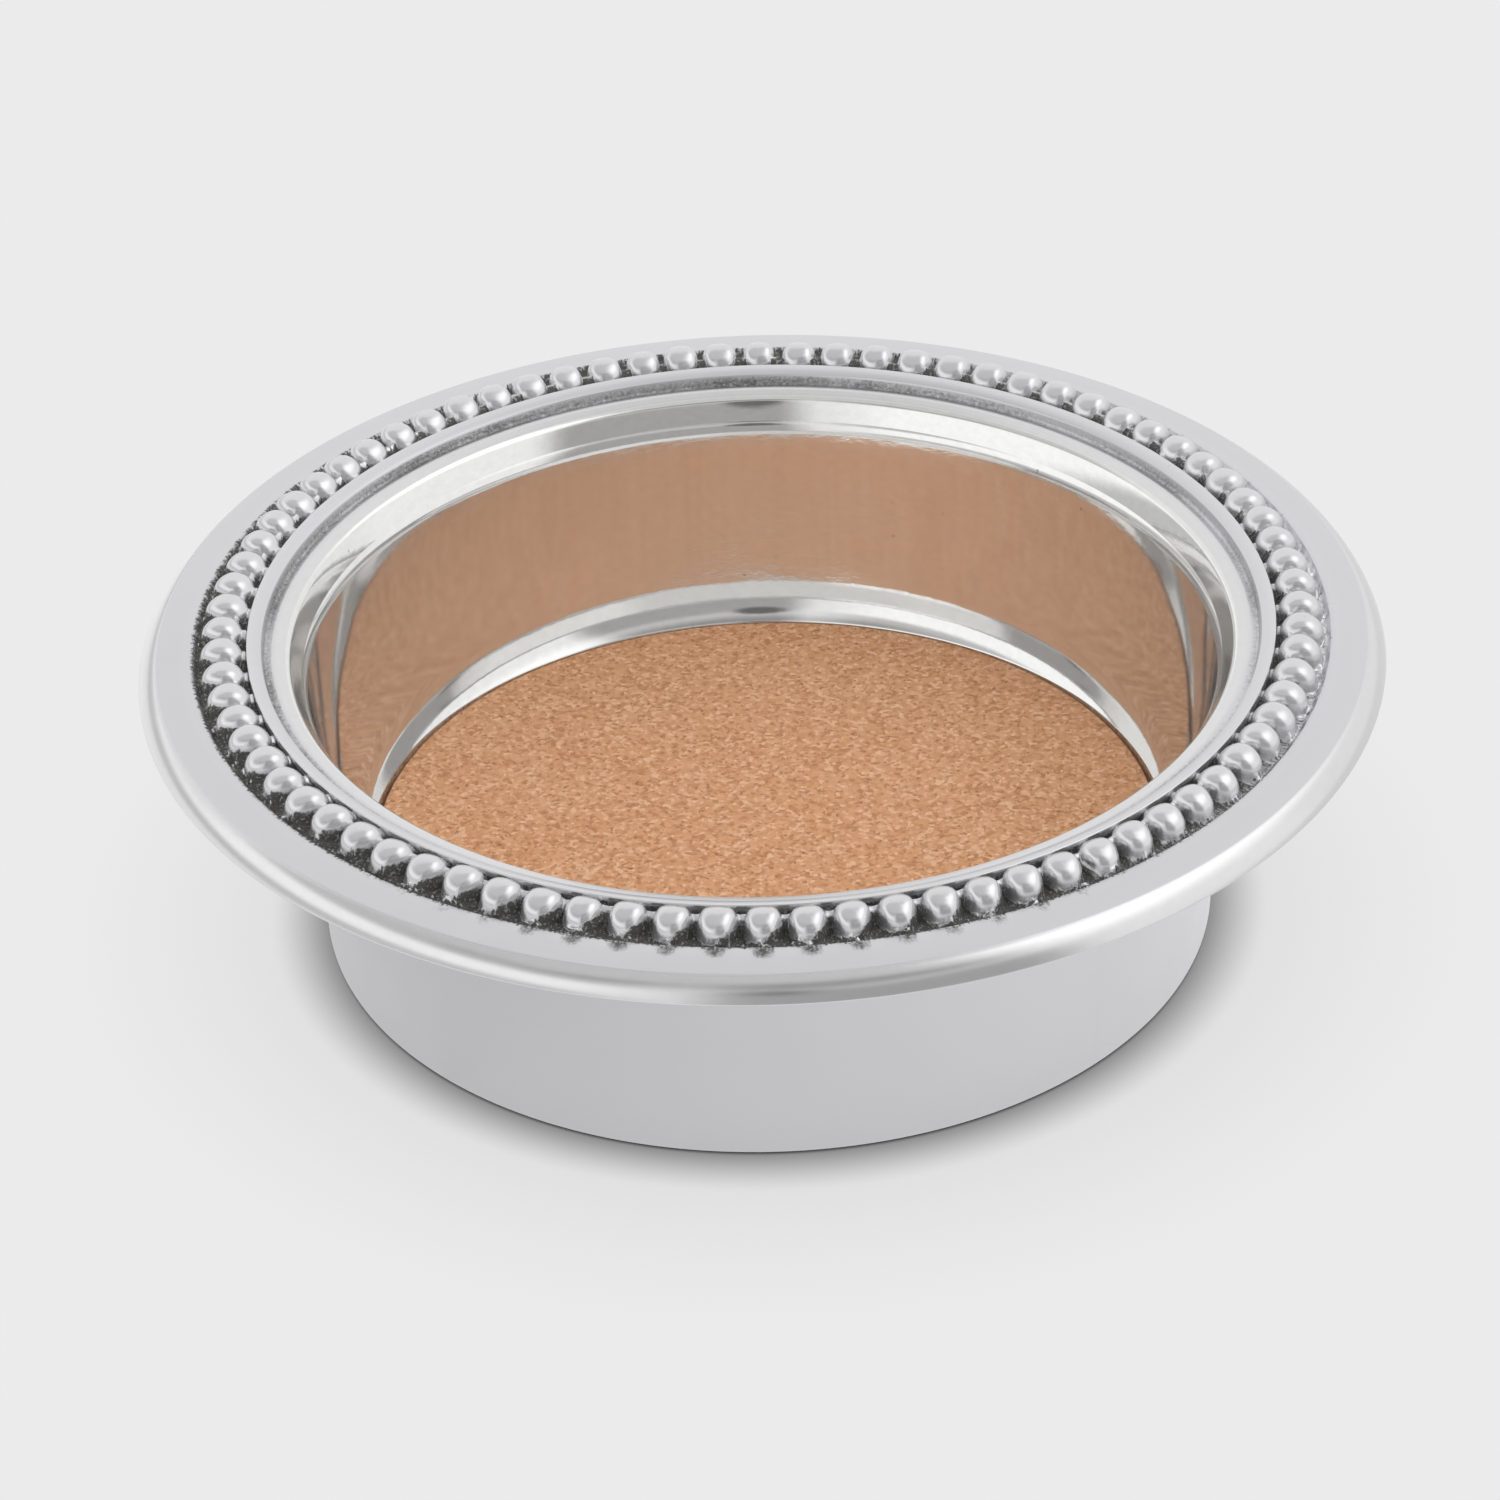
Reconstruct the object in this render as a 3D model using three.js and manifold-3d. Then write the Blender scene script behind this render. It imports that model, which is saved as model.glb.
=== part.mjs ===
// Wine bottle coaster: a cast aluminium dish with a rolled lip and a beaded rim,
// and a cork liner bonded to its floor. Millimetres, +Z up, origin at the centre of the foot.
import * as THREE from 'three';
import { mergeVertices } from 'three/addons/utils/BufferGeometryUtils.js';
import Module from 'manifold-3d';

// Bowl, measured at its wall and floor. A lean is in degrees from upright
const BOWL_DIAMETER = 92.48; // inside of the wall, just under the lip
const COLLAR_HEIGHT = 34.1; // table to the top of the collar
const WALL = 1.43; // at the top of the wall, which thickens towards the floor
const WALL_TOP_LEAN = 8.6; // inside of the wall
const WALL_FOOT_LEAN = 13.9;
const OUTSIDE_LEAN = 3.2;
const CURVE_LEAN = 38; // where the inside curve ends, at the cork
const CURVE_HEIGHT = 4.15; // of the inside curve between the wall and the cork
const POCKET_DEPTH = 2.35; // the cork sits in a shallow pocket
const FLOOR_THICKNESS = 3.4;
const FOOT_HEIGHT = 2.2; // the underside is hollowed by this much
const FOOT_WIDTH = 3.6;
const FOOT_EDGE_RADIUS = 0.9;

// Rolled lip inside the mouth, from the groove down to the wall
const LIP_DROP = 1.39; // collar top to the outer edge of the lip
const LAND_LEAN = 73.7; // the top of the lip slopes inwards
const LAND_FALL = 0.36;
const ROLL_LEAN = 70; // the rounding between the top of the lip and its face
const ROLL_FALL = 0.43;
const FACE_LEAN = 30;
const FACE_FOOT_LEAN = 25.6;
const FACE_FALL = 1.88;
const STEP_LEAN = 46; // the second, smaller roll under the lip
const STEP_FALL = 1.38;

// Groove and collar round the lip
const GROOVE_WIDTH = 1.1;
const GROOVE_DEPTH = 0.2; // below the outer edge of the lip
const COLLAR_WIDTH = 1.5;
const COLLAR_FALL = 0.5; // the collar slopes inwards

// Beaded border, standing in a channel. The beads are a little longer across the rim
const BEAD_ALONG = 3.8;
const BEAD_ACROSS = 4.34;
const BEAD_HEIGHT = 3.6;
const BEAD_GAP = 0.5;
const BEAD_RISE = 0.9; // centre of a bead above the channel floor
const BEAD_CLEARANCE = 0.36; // from the beads to the collar
const CHANNEL_DEPTH = 1.7; // below the collar top
const CHANNEL_MARGIN = 0.3; // from the beads to the outer bank
const CHANNEL_BANK = 0.51; // width of the outer bank's slope
const WEB_WIDTH = 1.9; // the web that strings the beads together
const WEB_HEIGHT = 1.85;

// Flange and its rounded edge
const FLANGE_DROP = 1.05; // collar top to the inner edge of the flange
const FLANGE_WIDTH = 3.75;
const FLANGE_FALL = 0.45;
const EDGE_WIDTH = 1.9; // rounding beyond the flange
const EDGE_SWEEP = 0.69; // of a quarter turn, so that a faint crease is left at the flange
const EDGE_LAND = 0.3; // upright strip and bevel under the rounding
const RIM_THICKNESS = 2.2; // metal under the channel
const RIM_FILLET = 3.0; // from the wall out under the rim

// Cork liner and the glue under it
const CORK_THICKNESS = 2.5;
const CORK_CLEARANCE = 0.2; // inside the pocket
const CORK_EDGE_BREAK = 0.25;
const GLUE_THICKNESS = 0.2;
const GLUE_INSET = 1.0; // the glue stops short of the edge of the cork

// Facets
const ARC_STEPS = 3;
const LIP_STEPS = 2;
const WALL_STEPS = 2;
const BEAD_SIDES = 8;
const BEAD_RINGS = 4;
const CORK_SIDES = 80;
const WELD_DISTANCE = 1e-4; // corners closer than this are one corner

const wasm = await Module();
wasm.setup();

// Points of a curve that goes down and inwards from a point while its lean turns evenly
function descent([radius, height], topLean, footLean, fall, steps) {
  const points = [];
  for (let step = 1; step <= steps; step += 1) {
    const lean = topLean + ((footLean - topLean) * (step - 0.5)) / steps;
    const inwards = (fall * Math.tan(THREE.MathUtils.degToRad(lean))) / steps;
    const [lastRadius, lastHeight] = points.at(-1) ?? [radius, height];
    points.push([lastRadius - inwards, lastHeight - fall / steps]);
  }
  return points;
}

// The lip from its outer edge down to the top of the wall
function lipSection(edge) {
  const land = descent(edge, LAND_LEAN, LAND_LEAN, LAND_FALL, 1);
  const roll = descent(land.at(-1), ROLL_LEAN, FACE_LEAN, ROLL_FALL, LIP_STEPS);
  const face = descent(roll.at(-1), FACE_LEAN, FACE_FOOT_LEAN, FACE_FALL, 1);
  const step = descent(face.at(-1), STEP_LEAN, WALL_TOP_LEAN, STEP_FALL, LIP_STEPS);
  return [edge, ...land, ...roll, ...face, ...step];
}

// Heights above the table, worked down from the collar and up from the foot
const floorHeight = FOOT_HEIGHT + FLOOR_THICKNESS;
const pocketHeight = floorHeight + POCKET_DEPTH;
const curveHeight = pocketHeight + CURVE_HEIGHT;
const landHeight = COLLAR_HEIGHT - LIP_DROP;
const channelHeight = COLLAR_HEIGHT - CHANNEL_DEPTH;
const flangeHeight = COLLAR_HEIGHT - FLANGE_DROP;
const undersideHeight = channelHeight - RIM_THICKNESS;

// Radii, worked outwards from the wall
const wallTop = BOWL_DIAMETER / 2;
const [lipReach, wallTopHeight] = lipSection([0, landHeight]).at(-1);
const landEdge = wallTop - lipReach;
const collarInner = landEdge + GROOVE_WIDTH;
const collarOuter = collarInner + COLLAR_WIDTH;
const beadCircle = collarOuter + BEAD_CLEARANCE + BEAD_ACROSS / 2;
const channelFoot = beadCircle + BEAD_ACROSS / 2 + CHANNEL_MARGIN;
const flangeInner = channelFoot + CHANNEL_BANK;
const flangeOuter = flangeInner + FLANGE_WIDTH;
const rimRadius = flangeOuter + EDGE_WIDTH;

const beadCount = Math.floor((2 * Math.PI * beadCircle) / (BEAD_ALONG + BEAD_GAP));

// The inside from the top of the wall down to the pocket that the cork lies in
function wallSection() {
  const wallFall = wallTopHeight - curveHeight;
  const wall = descent([wallTop, wallTopHeight], WALL_TOP_LEAN, WALL_FOOT_LEAN, wallFall, WALL_STEPS);
  const curve = descent(wall.at(-1), WALL_FOOT_LEAN, CURVE_LEAN, CURVE_HEIGHT, ARC_STEPS);
  return [...wall, ...curve];
}

const pocketRadius = wallSection().at(-1)[0];

// Radius of the wall's outside at a height
function outsideWall(height) {
  return wallTop + WALL - (wallTopHeight - height) * Math.tan(THREE.MathUtils.degToRad(OUTSIDE_LEAN));
}

const footRadius = outsideWall(FOOT_EDGE_RADIUS);

// Points of an elliptical arc about a centre, from one angle to another in quarter turns
function arc(centreRadius, centreHeight, width, height, fromQuarter, toQuarter) {
  const points = [];
  for (let step = 0; step <= ARC_STEPS; step += 1) {
    const angle = (Math.PI / 2) * (fromQuarter + ((toQuarter - fromQuarter) * step) / ARC_STEPS);
    points.push([centreRadius + width * Math.cos(angle), centreHeight + height * Math.sin(angle)]);
  }
  return points;
}

// A profile of [radius, height] points turned about the Z axis
function turned(profile, sides) {
  const points = profile.map(([radius, height]) => new THREE.Vector2(radius, height));
  return new THREE.LatheGeometry(points, sides).rotateX(Math.PI / 2);
}

// A closed geometry as a solid for joining
function solidOf(geometry) {
  geometry.deleteAttribute('normal');
  geometry.deleteAttribute('uv');
  const merged = mergeVertices(geometry, WELD_DISTANCE);
  const corners = merged.index.array;
  const triangles = [];
  for (let i = 0; i < corners.length; i += 3) {
    const [a, b, c] = [corners[i], corners[i + 1], corners[i + 2]];
    if (a !== b && b !== c && c !== a) triangles.push(a, b, c);
  }
  const vertProperties = new Float32Array(merged.attributes.position.array);
  const triVerts = new Uint32Array(triangles);
  return new wasm.Manifold(new wasm.Mesh({ numProp: 3, vertProperties, triVerts }));
}

// A solid back as a geometry
function geometryOf(solid) {
  const mesh = solid.getMesh();
  const geometry = new THREE.BufferGeometry();
  geometry.setAttribute('position', new THREE.BufferAttribute(mesh.vertProperties, 3));
  geometry.setIndex(new THREE.BufferAttribute(mesh.triVerts, 1));
  geometry.computeVertexNormals();
  return geometry;
}

// Section of the casting without its beads, from the middle of the underside, out
// round the rim, and back in over the lip and down the wall to the middle of the floor
function castingSection() {
  const edgeFoot = undersideHeight + EDGE_LAND;
  const edgeEnd = (EDGE_SWEEP * Math.PI) / 2;
  const edgeWide = EDGE_WIDTH / (1 - Math.cos(edgeEnd));
  const edgeHigh = (flangeHeight - FLANGE_FALL - edgeFoot) / Math.sin(edgeEnd);
  const webBottom = WEB_WIDTH / 2;
  const webTop = webBottom / 2;
  return [
    [0, FOOT_HEIGHT],
    [footRadius - FOOT_WIDTH, FOOT_HEIGHT],
    [footRadius - FOOT_WIDTH + FOOT_HEIGHT / 2, 0],
    ...arc(footRadius - FOOT_EDGE_RADIUS, FOOT_EDGE_RADIUS, FOOT_EDGE_RADIUS, FOOT_EDGE_RADIUS, -1, 0),
    ...arc(outsideWall(undersideHeight - RIM_FILLET) + RIM_FILLET, undersideHeight - RIM_FILLET,
      RIM_FILLET, RIM_FILLET, 2, 1),
    [rimRadius - EDGE_LAND, undersideHeight],
    ...arc(rimRadius - edgeWide, edgeFoot, edgeWide, edgeHigh, 0, EDGE_SWEEP),
    [flangeInner, flangeHeight],
    [channelFoot, channelHeight],
    [beadCircle + webBottom, channelHeight],
    [beadCircle + webTop, channelHeight + WEB_HEIGHT],
    [beadCircle - webTop, channelHeight + WEB_HEIGHT],
    [beadCircle - webBottom, channelHeight],
    [collarOuter, channelHeight],
    [collarOuter, COLLAR_HEIGHT],
    [collarInner, COLLAR_HEIGHT - COLLAR_FALL],
    [collarInner - GROOVE_WIDTH / 2, landHeight - GROOVE_DEPTH],
    ...lipSection([landEdge, landHeight]),
    ...wallSection(),
    [pocketRadius, floorHeight],
    [0, floorHeight],
  ];
}

// The ring of beads, each an oval that sits in the channel to a little below its middle
function beadRing() {
  const positions = [];
  for (let i = 0; i < beadCount; i += 1) {
    const bead = new THREE.SphereGeometry(1, BEAD_SIDES, BEAD_RINGS);
    bead.rotateX(Math.PI / 2);
    bead.scale(BEAD_ACROSS / 2, BEAD_ALONG / 2, BEAD_HEIGHT / 2);
    bead.translate(beadCircle, 0, channelHeight + BEAD_RISE);
    bead.rotateZ((2 * Math.PI * i) / beadCount);
    positions.push(...bead.toNonIndexed().attributes.position.array);
  }
  const ring = new THREE.BufferGeometry();
  ring.setAttribute('position', new THREE.BufferAttribute(new Float32Array(positions), 3));
  return ring;
}

// The dish, its rim and its beads: one aluminium casting
function castBody() {
  const dish = solidOf(turned(castingSection(), beadCount));
  const beads = solidOf(beadRing());
  const aluminium = new THREE.MeshStandardMaterial({ color: 0xcfcfd2, roughness: 0.28, metalness: 1.0 });
  const body = new THREE.Mesh(geometryOf(dish.add(beads)), aluminium);
  body.name = 'cast_body';
  return body;
}

// The glue film between the floor and the cork
function adhesiveDisc() {
  const radius = pocketRadius - CORK_CLEARANCE - GLUE_INSET;
  const film = new THREE.CylinderGeometry(radius, radius, GLUE_THICKNESS, CORK_SIDES).rotateX(Math.PI / 2);
  const glue = new THREE.MeshStandardMaterial({ color: 0xd9cfae, roughness: 0.45, metalness: 0.0 });
  const disc = new THREE.Mesh(film, glue);
  disc.name = 'adhesive_disc';
  disc.position.z = floorHeight + GLUE_THICKNESS / 2;
  return disc;
}

// The cork that the bottle stands on, with its top edge lightly broken
function corkLiner() {
  const radius = pocketRadius - CORK_CLEARANCE;
  const section = [
    [0, 0],
    [radius, 0],
    [radius, CORK_THICKNESS - CORK_EDGE_BREAK],
    [radius - CORK_EDGE_BREAK, CORK_THICKNESS],
    [0, CORK_THICKNESS],
  ];
  const cork = new THREE.MeshStandardMaterial({ color: 0xc2906c, roughness: 0.85, metalness: 0.0 });
  const liner = new THREE.Mesh(turned(section, CORK_SIDES), cork);
  liner.name = 'cork_liner';
  liner.position.z = floorHeight + GLUE_THICKNESS;
  return liner;
}

const coaster = new THREE.Group();
coaster.add(castBody(), adhesiveDisc(), corkLiner());

export default coaster;
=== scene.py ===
import math
import random

import bpy
import numpy as np
from mathutils import Matrix, Vector, noise


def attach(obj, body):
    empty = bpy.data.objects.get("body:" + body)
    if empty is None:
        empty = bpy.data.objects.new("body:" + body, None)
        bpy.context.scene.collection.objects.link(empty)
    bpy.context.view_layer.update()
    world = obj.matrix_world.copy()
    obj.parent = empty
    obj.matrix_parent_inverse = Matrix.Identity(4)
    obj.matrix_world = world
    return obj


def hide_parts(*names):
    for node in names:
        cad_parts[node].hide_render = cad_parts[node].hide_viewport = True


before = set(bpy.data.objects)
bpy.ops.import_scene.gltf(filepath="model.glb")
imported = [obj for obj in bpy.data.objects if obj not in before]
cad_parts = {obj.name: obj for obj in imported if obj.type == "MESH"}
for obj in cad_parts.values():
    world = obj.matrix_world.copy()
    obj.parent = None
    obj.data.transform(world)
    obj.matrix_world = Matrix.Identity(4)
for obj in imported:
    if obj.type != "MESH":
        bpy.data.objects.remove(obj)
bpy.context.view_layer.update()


# The casting: bowl, rolled lip, collar, bead border and rim are one piece of sand-cast aluminium.
# The bowl, lip, beads and outer edge are buffed bright, the flange, collar and outside are left
# satin, and the dark cast skin stays in the groove and round the feet of the beads. The skin is
# painted lighter at the right, where the light falls, and painted bead shade lies grey on the front of the
# flange.
MM = 0.001
BEADS = 80
COLUMNS_PER_BEAD = 6
RIM_COLUMNS_PER_BEAD = 12
SIDE_STEPS = 12
PITCH = 2 * math.pi / BEADS

OUTSIDE_SLOPE = math.tan(math.radians(3.2))
OUTSIDE_RADIUS = 47.7
OUTSIDE_HEIGHT = 29.15
FLOOR_HEIGHT = 5.6
GROOVE_EDGE = (49.75, 32.71)
INSIDE_RUNS = (  # lean from upright at the top and at the foot in degrees, length, steps
    (73.7, 73.7, 1.27, 3),
    (73.7, 30.0, 0.726, 7),
    (30.0, 25.6, 2.07, 4),
    (25.6, 25.6, 0.06, 1),
    (38.0, 38.0, 0.06, 1),
    (38.0, 7.3, 1.4, 9),
    (7.3, 14.0, 16.9, 7),
    (14.0, 23.0, 2.15, 5),
    (23.0, 44.0, 2.6, 9),
)
COLLAR_INNER = 50.85
COLLAR_OUTER = 52.35
COLLAR_HEIGHT = 34.1
CHANNEL_FLOOR = 32.4
COLLAR_FOOT = 32.9
CHANNEL_FOOT = 57.35
FLANGE_INNER = 57.86
FLANGE_OUTER = 61.61
FLANGE_HEIGHT = 33.05
FLANGE_EDGE_HEIGHT = 32.57
RIM_RADIUS = 63.51
UNDERSIDE = 30.2
FOOT_HEIGHT = 2.2
EDGE_START_TILT = math.radians(28)
EDGE_END_TILT = math.radians(70)
EDGE_LAST_STEP = math.radians(1)
EDGE_STEPS = 8
EDGE_BOTTOM_STRIP = 0.12
EDGE_POLISH = 0.45

BEAD_CIRCLE = 54.88
BEAD_HALF_ALONG = 1.9
BEAD_HALF_ACROSS = 2.17
BEAD_HALF_HEIGHT = 1.8
BEAD_CENTRE = 33.3
BEAD_SQUARENESS = 2.4
SHOULDER_ALONG = 3.6
SHOULDER_ACROSS = 2.0
BEAD_POLISH = 0.3
DOME_RINGS = 7
SKIRT_RINGS = (0.06, 0.16, 0.32, 0.54, 0.77, 1.0)
FAR_FLANK_CUT = 0.24
NEAR_FLANK_CUT = 0.08
FLANK_WIDTH = 0.22
BORDER_SEED = 7


def bowl_inside():
    """Section of the inside, from the pocket for the cork up the wall and over the lip to the groove."""
    radius, height = GROOVE_EDGE
    points = [GROOVE_EDGE]
    for top_lean, foot_lean, length, steps in INSIDE_RUNS:
        for step in range(steps):
            lean = math.radians(top_lean + (foot_lean - top_lean) * (step + 0.5) / steps)
            radius -= length / steps * math.sin(lean)
            height -= length / steps * math.cos(lean)
            points.append((radius, height))
    return points[::-1]


def wall_outside(height):
    return OUTSIDE_RADIUS - (OUTSIDE_HEIGHT - height) * OUTSIDE_SLOPE


def rounded(corners, longest=9.0):
    """Section through (radius, height, fillet, steps, polish, oxide) corners, with its long runs divided."""
    cut = []
    for i, (radius, height, fillet, steps, polish, oxide) in enumerate(corners):
        here = Vector((radius, height))
        if fillet == 0:
            cut.append((radius, height, polish, oxide))
            continue
        back = (Vector(corners[i - 1][:2]) - here).normalized()
        ahead = (Vector(corners[i + 1][:2]) - here).normalized()
        half = back.angle(ahead) / 2
        centre = here + (back + ahead).normalized() * (fillet / math.sin(half))
        start = here + back * (fillet / math.tan(half)) - centre
        end = here + ahead * (fillet / math.tan(half)) - centre
        turn = math.atan2(start.x * end.y - start.y * end.x, start.dot(end))
        for step in range(steps + 1):
            angle = turn * step / steps
            c, s = math.cos(angle), math.sin(angle)
            turned_radius = centre.x + c * start.x - s * start.y
            turned_height = centre.y + s * start.x + c * start.y
            cut.append((turned_radius, turned_height, polish, oxide))
    points = [cut[0]]
    for a, b in zip(cut, cut[1:]):
        pieces = max(1, math.ceil(math.dist(a[:2], b[:2]) / longest))
        points += [tuple(p + (q - p) * k / pieces for p, q in zip(a, b)) for k in range(1, pieces + 1)]
    return points


inside = bowl_inside()
POCKET_RADIUS = inside[0][0]
bowl_section = rounded([
    (0.0, FLOOR_HEIGHT, 0, 0, 0.3, 0.0),
    (POCKET_RADIUS, FLOOR_HEIGHT, 0.15, 2, 0.3, 0.3),
    *[(radius, height, 0, 0, 1.0, 0.0) for radius, height in inside[:-4]],
    *[(radius, height, 0, 0, 0.5, 0.0) for radius, height in inside[-4:-1]],
    (*GROOVE_EDGE, 0, 0, 0.3, 0.3),
    (49.95, 32.66, 0, 0, 0.1, 0.42),
    (50.32, 32.55, 0, 0, 0.0, 0.5),
    (50.58, 32.57, 0, 0, 0.0, 0.52),
    (50.68, 32.85, 0, 0, 0.0, 0.5),
    (50.8, 33.4, 0, 0, 0.0, 0.42),
    (COLLAR_INNER + 0.03, 33.61, 0.06, 2, 0.0, 0.05),
    (COLLAR_OUTER, COLLAR_HEIGHT, 0.1, 2, 0.35, 0.0),
    (COLLAR_OUTER, 33.5, 0, 0, 0.1, 0.5),
    (COLLAR_OUTER, COLLAR_FOOT, 0, 0, 0.0, 0.9),
], 14.0)

edge_width = (RIM_RADIUS - FLANGE_OUTER) / (math.sin(EDGE_END_TILT) - math.sin(EDGE_START_TILT))
edge_fall = FLANGE_EDGE_HEIGHT - UNDERSIDE - EDGE_BOTTOM_STRIP
edge_drop = edge_fall / (math.cos(EDGE_START_TILT) - math.cos(EDGE_END_TILT))
edge_tilts = [*np.linspace(EDGE_START_TILT, EDGE_END_TILT - EDGE_LAST_STEP, EDGE_STEPS)[1:], EDGE_END_TILT]
rim_edge = [
    (
        FLANGE_OUTER + edge_width * (math.sin(tilt) - math.sin(EDGE_START_TILT)),
        FLANGE_EDGE_HEIGHT - edge_drop * (math.cos(EDGE_START_TILT) - math.cos(tilt)),
        0, 0, EDGE_POLISH, 0.0,
    )
    for tilt in edge_tilts
]
rim_section = rounded([
    (57.52, 32.6, 0, 0, 0.0, 0.9),
    (FLANGE_INNER, FLANGE_HEIGHT, 0.15, 3, 0.0, 0.5),
    # These rows carry the painted grey shade of the beads on the front of the flange.
    (58.25, 33.03, 0, 0, 0.1, 0.66),
    (58.75, 33.0, 0, 0, 0.1, 0.62),
    (59.2, 32.95, 0, 0, 0.0, 0.5),
    (60.2, 32.82, 0, 0, 0.0, 0.0),
    (61.55, 32.58, 0, 0, 0.0, 0.0),
    (FLANGE_OUTER, FLANGE_EDGE_HEIGHT, 0, 0, 0.2, 0.0),
    *rim_edge,
    (RIM_RADIUS, UNDERSIDE, 0.08, 2, 0.3, 0.0),
    (wall_outside(UNDERSIDE), UNDERSIDE, 3.0, 5, 0.1, 0.0),
    (wall_outside(0), 0.0, 0.9, 6, 0.0, 0.0),
    (43.64, 0.0, 0.3, 3, 0.0, 0.0),
    (42.54, FOOT_HEIGHT, 0.5, 3, 0.0, 0.0),
    (0.0, FOOT_HEIGHT, 0, 0, 0.0, 0.0),
])

# Each bead differs a little: its slip, size and rise, and the tail and crumbs of metal at its foot.
draw = random.Random(BORDER_SEED)
bead_marks = []
for _ in range(BEADS):
    crumbs = [
        (draw.gauss(-0.15, 0.75), draw.uniform(2.0, 2.6), draw.uniform(0.12, 0.26), draw.uniform(0.4, 0.85))
        for _ in range(draw.randint(3, 6))
    ]
    bead_marks.append({
        "slip": (draw.gauss(0, 0.05), draw.gauss(0, 0.05)),
        "size": draw.gauss(1.0, 0.018),
        "rise": draw.gauss(0, 0.05),
        "tail": (draw.gauss(-0.3, 0.25), draw.uniform(0.32, 0.5), draw.uniform(0.2, 0.5)),
        "crumbs": crumbs,
    })


def grain(x, y, z, per_mm):
    return noise.noise(Vector((x * per_mm, y * per_mm, z * per_mm)))


def between(value, low, high):
    """0 below low, 1 above high and smooth between."""
    share = min(1.0, max(0.0, (value - low) / (high - low)))
    return share * share * (3 - 2 * share)


LUMP_HEIGHT, LUMPS_PER_MM = 0.16, 1.9
GRAIN_HEIGHT, GRAINS_PER_MM = 0.08, 4.5
NECK_CIRCLE = 53.9
NECK_HEIGHT = 34.1
NECK_INNER_WIDTH = 0.75
NECK_OUTER_WIDTH = 0.6
NECK_UNEVEN, NECK_WAVES_PER_MM = 0.15, 0.6
NECK_BARE_INSIDE = 0.15
# Painted light and shade on the necks: less skin at the sides, more at the back.
NECK_PAINTED_LIGHT_AT_SIDES = 0.8
NECK_PAINTED_SHADE_AT_BACK = 0.2
NECK_BARE_FADE = 0.25
RIGHT_SHARE = 0.6
TAIL_RISE = 1.0
WEB_SLIP = 0.2
WEB_WIDTH, WEB_WIDER_AT_SIDES = 0.85, 0.25
WEB_RISE, WEB_HIGHER_AT_SIDES = 1.35, 0.2
WEB_FADE, WEB_END = -1.9, -1.3


def channel_relief(angle, radius):
    """Height of the channel between the beads, and how bare its metal is there."""
    x, y = radius * math.cos(angle), radius * math.sin(angle)
    height = CHANNEL_FLOOR + LUMP_HEIGHT * grain(x, y, 0.0, LUMPS_PER_MM)
    height += GRAIN_HEIGHT * grain(x, y, 5.0, GRAINS_PER_MM)
    across = radius - BEAD_CIRCLE
    neck_width = NECK_OUTER_WIDTH if radius > NECK_CIRCLE else NECK_INNER_WIDTH
    neck_rise = NECK_HEIGHT - CHANNEL_FLOOR + NECK_UNEVEN * grain(x, y, 9.0, NECK_WAVES_PER_MM)
    neck = math.exp(-(((radius - NECK_CIRCLE) / neck_width) ** 2))
    # The necks are painted lighter at the sides, where less skin is left on them, and darker in the gaps at
    # the back, where more is: painted light and painted shade.
    side_on = max(-math.cos(angle), RIGHT_SHARE * math.cos(angle)) ** 2
    buffed_from = NECK_CIRCLE - NECK_BARE_INSIDE - NECK_PAINTED_LIGHT_AT_SIDES * side_on
    buffed_from += NECK_PAINTED_SHADE_AT_BACK * max(0.0, math.sin(angle))
    lumps = [(neck_rise, neck, neck * between(radius, buffed_from, buffed_from + NECK_BARE_FADE))]
    nearest = round(angle / PITCH)
    for bead in (nearest - 1, nearest, nearest + 1):
        mark = bead_marks[bead % BEADS]
        along = (angle - bead * PITCH) * BEAD_CIRCLE
        side, width, reach = mark["tail"]
        fade = min(1.0, max(0.0, (BEAD_HALF_ACROSS + reach - across) / reach)) if across > 0 else 0.0
        tail = fade * math.exp(-(((along - side) / width) ** 2))
        lumps.append((TAIL_RISE, tail, tail))
        web_width = WEB_WIDTH + WEB_WIDER_AT_SIDES * side_on
        web = math.exp(-(((along - WEB_SLIP) / web_width) ** 2)) * (1 - between(across, WEB_FADE, WEB_END))
        lumps.append((WEB_RISE + WEB_HIGHER_AT_SIDES * side_on, web, web))
        for a, b, size, lump in mark["crumbs"]:
            crumb = math.exp(-((along - a) ** 2 + (across - b) ** 2) / size**2)
            lumps.append((lump, crumb, crumb))
    bare = 0.0
    for rise, weight, shine in lumps:
        if CHANNEL_FLOOR + rise * weight > height:
            height, bare = CHANNEL_FLOOR + rise * weight, shine
    return height, bare


# The skin share is painted lower towards the right, where the light falls, and lowest there outside the
# beads.
LIT_SIDE = math.radians(12)
LIT_LIGHTENING_ALL_OVER = 0.15
LIT_LIGHTENING_OUTSIDE = 0.6
SKIN_TOP, SKIN_FADE = 34.3, 0.5
BARE_FROM, BARE_TO = 0.45, 0.85
BEAD_SKIN_TOP, BEAD_SKIN_CLIMB = 32.9, 1.05
BEAD_SKIN_SHARE = 0.8
# Beyond this radius the grey on the flange is painted shade of the beads at the front, with a trace at the
# left.
BEAD_SHADE_INNER = FLANGE_INNER + 0.2
LEFT_TRACE = 0.25


def skin_less_on_lit_side(angle, radius):
    """Share of the dark cast skin, painted less towards the right where the light falls, least there outside
    its beads.
    """
    lit_side_share = max(0.0, math.cos(angle - LIT_SIDE)) ** 1.5
    return 1.0 - lit_side_share * (LIT_LIGHTENING_ALL_OVER + LIT_LIGHTENING_OUTSIDE * between(radius - BEAD_CIRCLE, 0.9, 1.7))


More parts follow.
